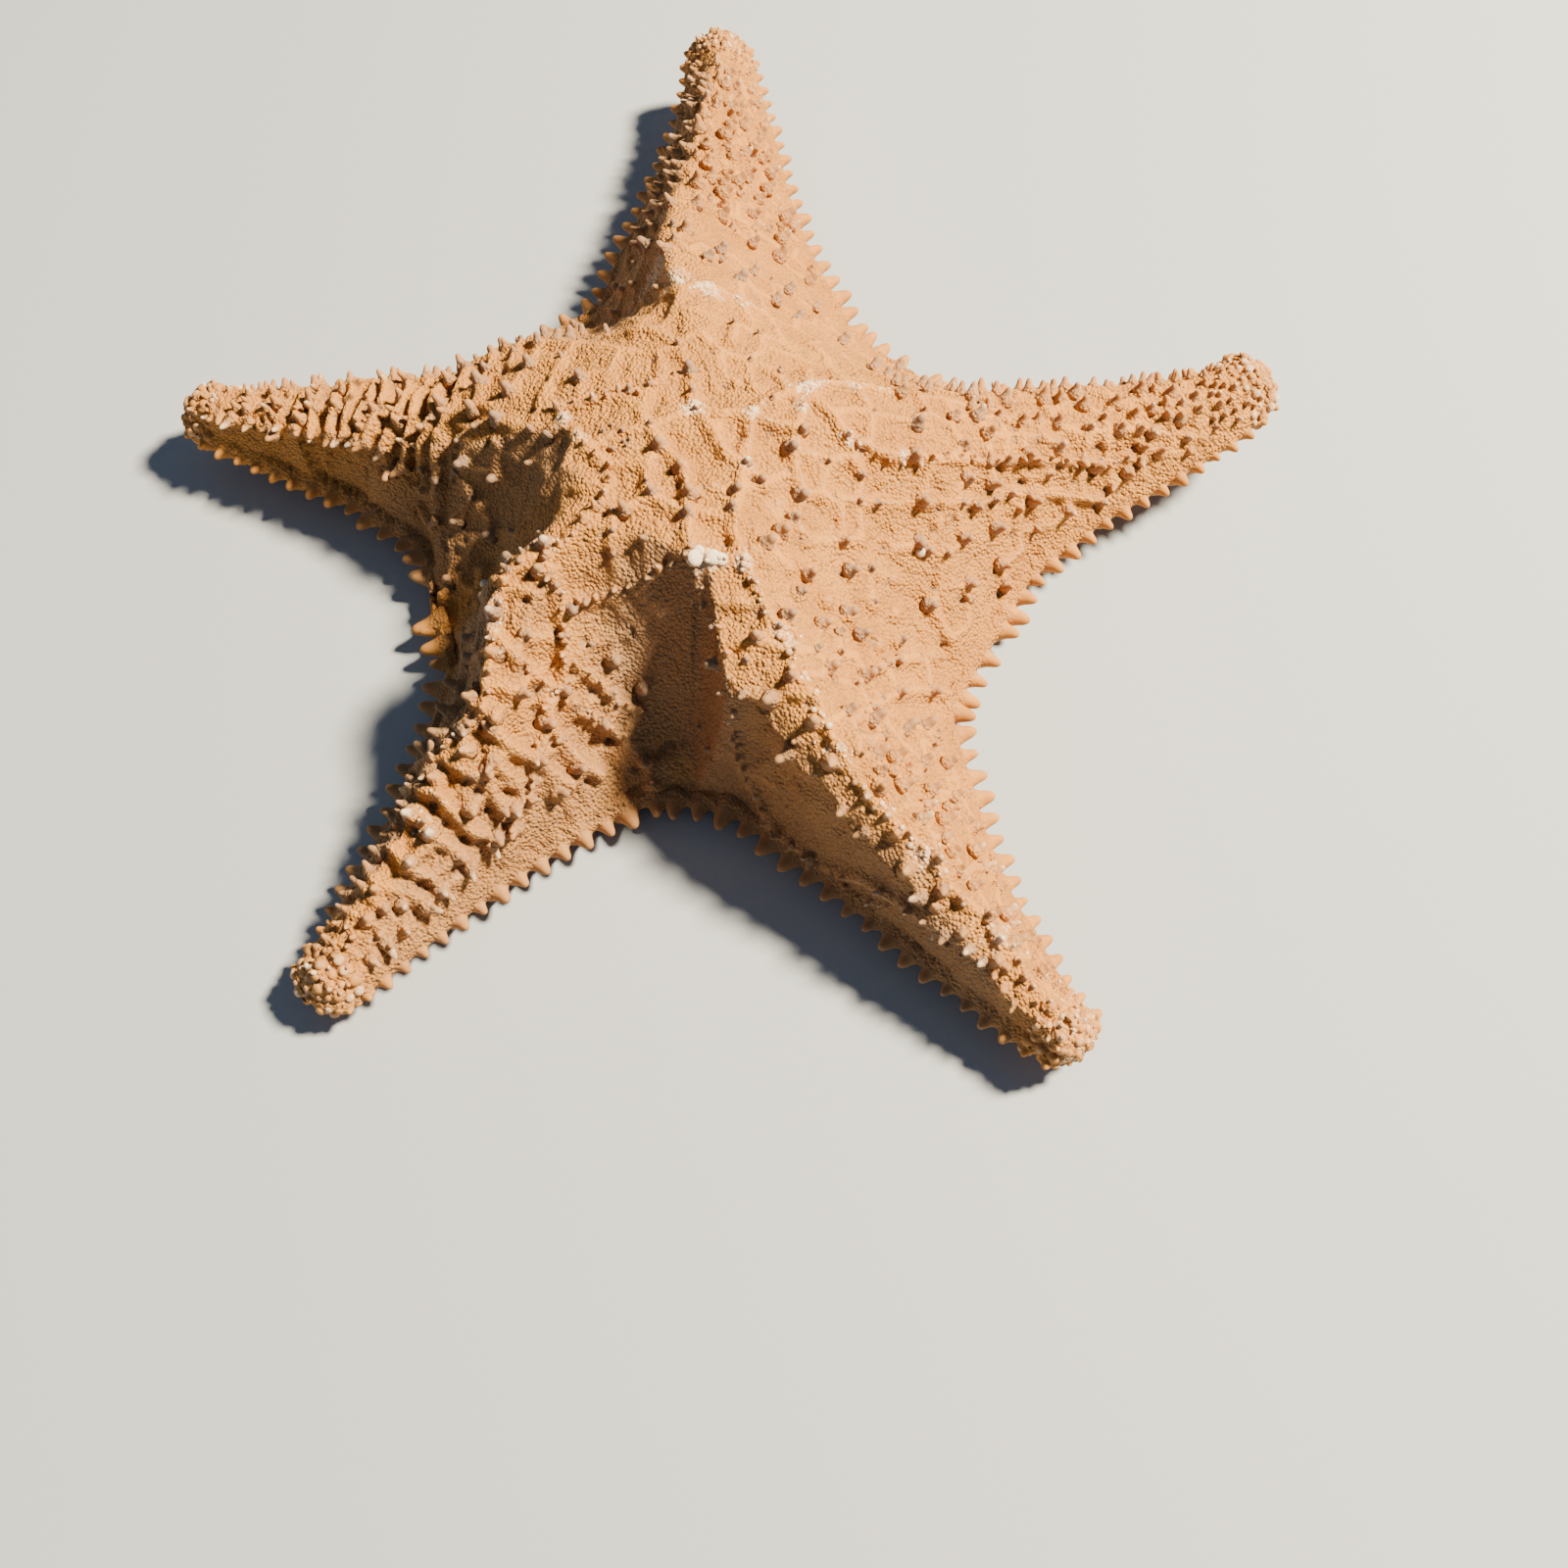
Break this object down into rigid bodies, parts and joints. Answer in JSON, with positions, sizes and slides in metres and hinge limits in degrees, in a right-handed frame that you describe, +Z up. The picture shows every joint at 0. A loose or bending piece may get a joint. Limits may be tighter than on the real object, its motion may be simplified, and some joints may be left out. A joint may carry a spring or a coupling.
{
  "type": "dried cushion sea star",
  "caption": "Five-armed dried cushion sea star with a domed disc, tapering raised-tip arms, blunt spines and a toothed edge.",
  "frame": {"origin": "on the floor under the middle of the outline box", "axes": "+Z up through the disc, +Y away from the viewer along the longest arm, +X to the viewer's right"},
  "size_m": [0.2736, 0.305, 0.0592],
  "materials": {
    "dried_skin": "dry, matt, sandy tan skin over chalky plates"
  },
  "bodies": {
    "root": {"disc": "dried_skin", "arm_near_right": "dried_skin", "arm_right": "dried_skin", "arm_far": "dried_skin", "arm_left": "dried_skin", "arm_near_left": "dried_skin"}
  },
  "joints": []
}
